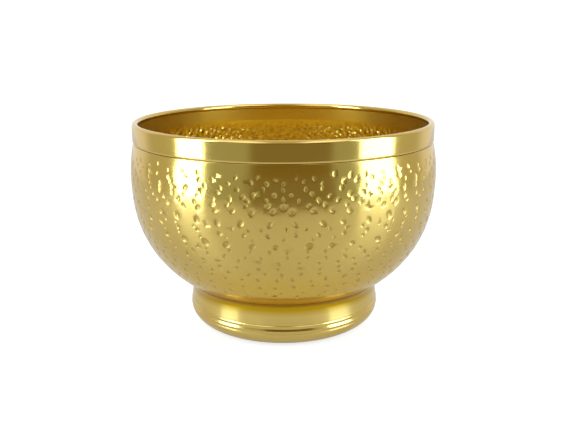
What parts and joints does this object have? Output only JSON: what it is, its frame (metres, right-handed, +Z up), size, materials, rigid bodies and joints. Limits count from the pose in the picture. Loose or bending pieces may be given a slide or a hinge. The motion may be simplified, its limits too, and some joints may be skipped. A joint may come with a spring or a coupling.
{
  "type": "hammered footed bowl",
  "caption": "Round hammered brass bowl with a smooth rim band, a thick rolled lip and a low spun foot.",
  "frame": {"origin": "centre of the flat ring that the foot stands on", "axes": "+Z up along the bowl's axis of turning, +X and +Y across it"},
  "size_m": [0.2056, 0.2056, 0.1387],
  "materials": {
    "hammered_brass": "polished and hand-hammered, satin in the dents",
    "polished_brass": "smooth, brushed round the axis and polished",
    "spun_brass": "spun on the lathe and polished, with fine turning lines",
    "braze": "brazing filler, dull and slightly rippled",
    "steel_wire": "plain drawn wire"
  },
  "bodies": {
    "root": {"bowl_shell": "hammered_brass", "rim_band": "polished_brass", "lip_wire": "steel_wire", "foot_ring": "spun_brass", "foot_braze": "braze"}
  },
  "joints": []
}
